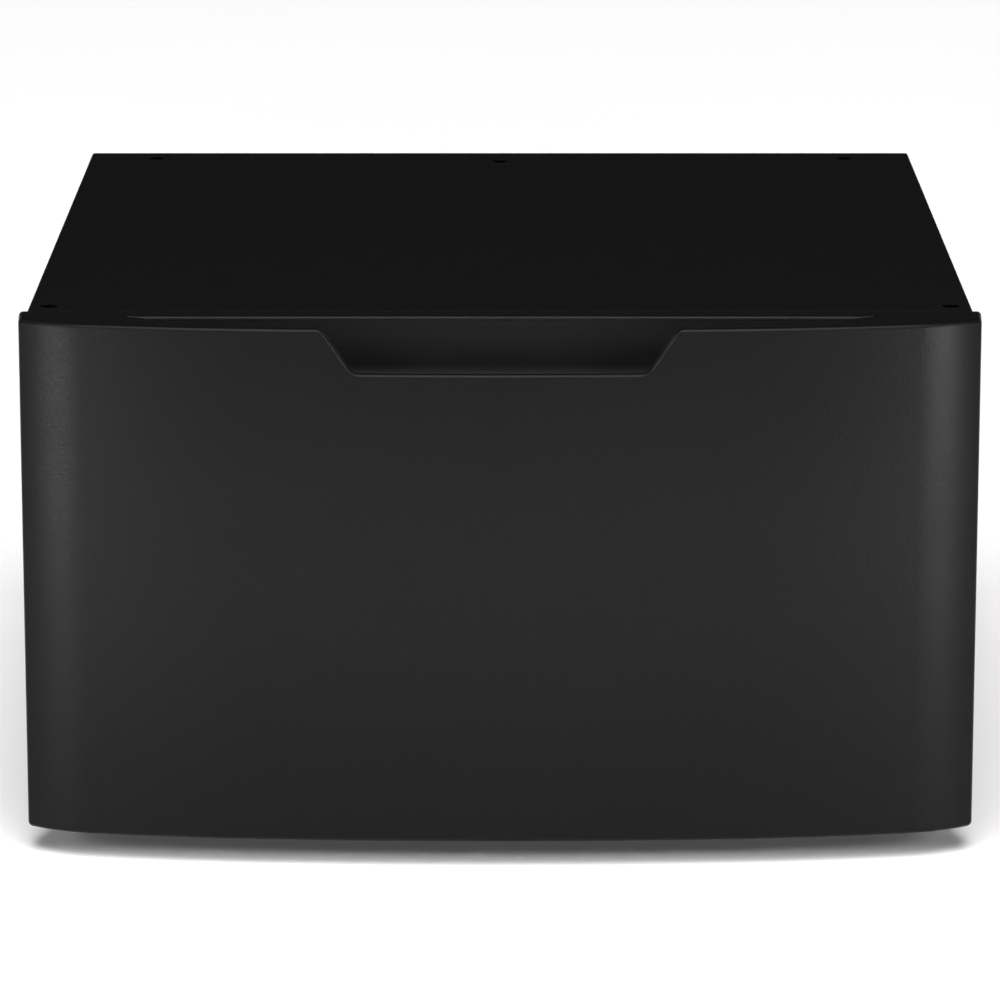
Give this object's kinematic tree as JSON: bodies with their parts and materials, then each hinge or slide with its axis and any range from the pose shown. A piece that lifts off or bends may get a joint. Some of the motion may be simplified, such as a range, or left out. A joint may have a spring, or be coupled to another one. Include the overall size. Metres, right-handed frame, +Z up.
{
  "type": "laundry pedestal",
  "caption": "Low black pedestal for a washer or dryer: a sheet metal cabinet on levelling feet with a wide bowed drawer front, a hand notch over a finger pocket, and a flat top.",
  "frame": {"origin": "on the floor, at the middle of the bounding box", "axes": "+Z up; the drawer faces -Y; +X is to the right when facing +Y from in front of the drawer"},
  "size_m": [0.686, 0.722, 0.394],
  "materials": {
    "cabinet_paint": "near-black satin paint on sheet steel",
    "front_paint": "charcoal black satin paint with a fine grain",
    "pocket_plastic": "matt black moulded plastic",
    "galvanised_steel": "dull galvanised sheet",
    "drawer_steel": "smooth galvanised sheet",
    "slide_steel": "bright zinc-plated rolled steel",
    "ball_steel": "polished bearing balls",
    "zinc_plated_steel": "zinc-plated fasteners",
    "lever_plastic": "black moulded plastic",
    "rubber": "matt black rubber"
  },
  "bodies": {
    "cabinet": {"top_panel": "cabinet_paint", "side_panel_left": "cabinet_paint", "side_panel_right": "cabinet_paint", "back_panel": "cabinet_paint", "front_top_rail": "cabinet_paint", "front_sill": "cabinet_paint", "rear_bottom_rail": "galvanised_steel", "base_rail_left": "galvanised_steel", "base_rail_right": "galvanised_steel", "top_brace_front": "galvanised_steel", "top_brace_rear": "galvanised_steel", "slide_mount_left": "galvanised_steel", "slide_mount_right": "galvanised_steel", "foot_bracket_front_left": "galvanised_steel", "foot_bracket_front_right": "galvanised_steel", "foot_bracket_rear_left": "galvanised_steel", "foot_bracket_rear_right": "galvanised_steel", "lock_nut_front_left": "zinc_plated_steel", "lock_nut_front_right": "zinc_plated_steel", "lock_nut_rear_left": "zinc_plated_steel", "lock_nut_rear_right": "zinc_plated_steel", "slide_outer_left": "slide_steel", "slide_outer_right": "slide_steel", "cabinet_screws": "zinc_plated_steel", "slide_rivets": "zinc_plated_steel"},
    "drawer": {"front_skin": "front_paint", "handle_pocket": "pocket_plastic", "front_back_pan": "drawer_steel", "drawer_box_front": "drawer_steel", "drawer_side_left": "drawer_steel", "drawer_side_right": "drawer_steel", "drawer_back": "drawer_steel", "drawer_floor": "drawer_steel", "slide_inner_left": "slide_steel", "slide_inner_right": "slide_steel", "drawer_screws": "zinc_plated_steel", "bumper_left": "rubber", "bumper_right": "rubber"},
    "slide_middle_left": {"slide_middle_left": "slide_steel"},
    "outer_cage_left": {"outer_cage_left": "slide_steel", "outer_balls_left": "ball_steel"},
    "inner_cage_left": {"inner_cage_left": "slide_steel", "inner_balls_left": "ball_steel"},
    "release_lever_left": {"release_lever_left": "lever_plastic"},
    "slide_middle_right": {"slide_middle_right": "slide_steel"},
    "outer_cage_right": {"outer_cage_right": "slide_steel", "outer_balls_right": "ball_steel"},
    "inner_cage_right": {"inner_cage_right": "slide_steel", "inner_balls_right": "ball_steel"},
    "release_lever_right": {"release_lever_right": "lever_plastic"},
    "foot_pad_front_left": {"foot_pad_front_left": "rubber"},
    "foot_stud_front_left": {"foot_stud_front_left": "zinc_plated_steel"},
    "foot_pad_front_right": {"foot_pad_front_right": "rubber"},
    "foot_stud_front_right": {"foot_stud_front_right": "zinc_plated_steel"},
    "foot_pad_rear_left": {"foot_pad_rear_left": "rubber"},
    "foot_stud_rear_left": {"foot_stud_rear_left": "zinc_plated_steel"},
    "foot_pad_rear_right": {"foot_pad_rear_right": "rubber"},
    "foot_stud_rear_right": {"foot_stud_rear_right": "zinc_plated_steel"}
  },
  "joints": [
    {"name": "drawer_slide", "type": "slide", "parent": "cabinet", "child": "drawer", "axis": [0, -1, 0], "range_m": [0, 0.5]},
    {"name": "middle_slide_left", "type": "slide", "parent": "cabinet", "child": "slide_middle_left", "axis": [0, -1, 0], "range_m": [0, 0.25]},
    {"name": "outer_cage_slide_left", "type": "slide", "parent": "cabinet", "child": "outer_cage_left", "axis": [0, -1, 0], "range_m": [0, 0.125]},
    {"name": "inner_cage_slide_left", "type": "slide", "parent": "cabinet", "child": "inner_cage_left", "axis": [0, -1, 0], "range_m": [0, 0.375]},
    {"name": "lever_tilt_left", "type": "hinge", "parent": "drawer", "child": "release_lever_left", "pos_m": [-0.307, -0.174, 0.19], "axis": [1, 0, 0], "range_deg": [0, 6], "stiffness_Nm_per_rad": 0.05},
    {"name": "middle_slide_right", "type": "slide", "parent": "cabinet", "child": "slide_middle_right", "axis": [0, -1, 0], "range_m": [0, 0.25]},
    {"name": "outer_cage_slide_right", "type": "slide", "parent": "cabinet", "child": "outer_cage_right", "axis": [0, -1, 0], "range_m": [0, 0.125]},
    {"name": "inner_cage_slide_right", "type": "slide", "parent": "cabinet", "child": "inner_cage_right", "axis": [0, -1, 0], "range_m": [0, 0.375]},
    {"name": "lever_tilt_right", "type": "hinge", "parent": "drawer", "child": "release_lever_right", "pos_m": [0.307, -0.174, 0.19], "axis": [1, 0, 0], "range_deg": [0, 6], "stiffness_Nm_per_rad": 0.05},
    {"name": "foot_height_front_left", "type": "slide", "parent": "cabinet", "child": "foot_pad_front_left", "axis": [0, 0, -1], "range_m": [0, 0.02]},
    {"name": "foot_turn_front_left", "type": "hinge", "parent": "foot_pad_front_left", "child": "foot_stud_front_left", "pos_m": [-0.298, -0.234, 0.02], "axis": [0, 0, -1], "range_deg": [0, 4810]},
    {"name": "foot_height_front_right", "type": "slide", "parent": "cabinet", "child": "foot_pad_front_right", "axis": [0, 0, -1], "range_m": [0, 0.02]},
    {"name": "foot_turn_front_right", "type": "hinge", "parent": "foot_pad_front_right", "child": "foot_stud_front_right", "pos_m": [0.298, -0.234, 0.02], "axis": [0, 0, -1], "range_deg": [0, 4810]},
    {"name": "foot_height_rear_left", "type": "slide", "parent": "cabinet", "child": "foot_pad_rear_left", "axis": [0, 0, -1], "range_m": [0, 0.02]},
    {"name": "foot_turn_rear_left", "type": "hinge", "parent": "foot_pad_rear_left", "child": "foot_stud_rear_left", "pos_m": [-0.298, 0.302, 0.02], "axis": [0, 0, -1], "range_deg": [0, 4810]},
    {"name": "foot_height_rear_right", "type": "slide", "parent": "cabinet", "child": "foot_pad_rear_right", "axis": [0, 0, -1], "range_m": [0, 0.02]},
    {"name": "foot_turn_rear_right", "type": "hinge", "parent": "foot_pad_rear_right", "child": "foot_stud_rear_right", "pos_m": [0.298, 0.302, 0.02], "axis": [0, 0, -1], "range_deg": [0, 4810]}
  ],
  "couplings": [
    {"joint": "middle_slide_left", "follows": "drawer_slide", "ratio": 0.5},
    {"joint": "outer_cage_slide_left", "follows": "drawer_slide", "ratio": 0.25},
    {"joint": "inner_cage_slide_left", "follows": "drawer_slide", "ratio": 0.75},
    {"joint": "middle_slide_right", "follows": "drawer_slide", "ratio": 0.5},
    {"joint": "outer_cage_slide_right", "follows": "drawer_slide", "ratio": 0.25},
    {"joint": "inner_cage_slide_right", "follows": "drawer_slide", "ratio": 0.75},
    {"joint": "foot_turn_front_left", "follows": "foot_height_front_left", "rad_per_m": 4188.8},
    {"joint": "foot_turn_front_right", "follows": "foot_height_front_right", "rad_per_m": 4188.8},
    {"joint": "foot_turn_rear_left", "follows": "foot_height_rear_left", "rad_per_m": 4188.8},
    {"joint": "foot_turn_rear_right", "follows": "foot_height_rear_right", "rad_per_m": 4188.8}
  ]
}
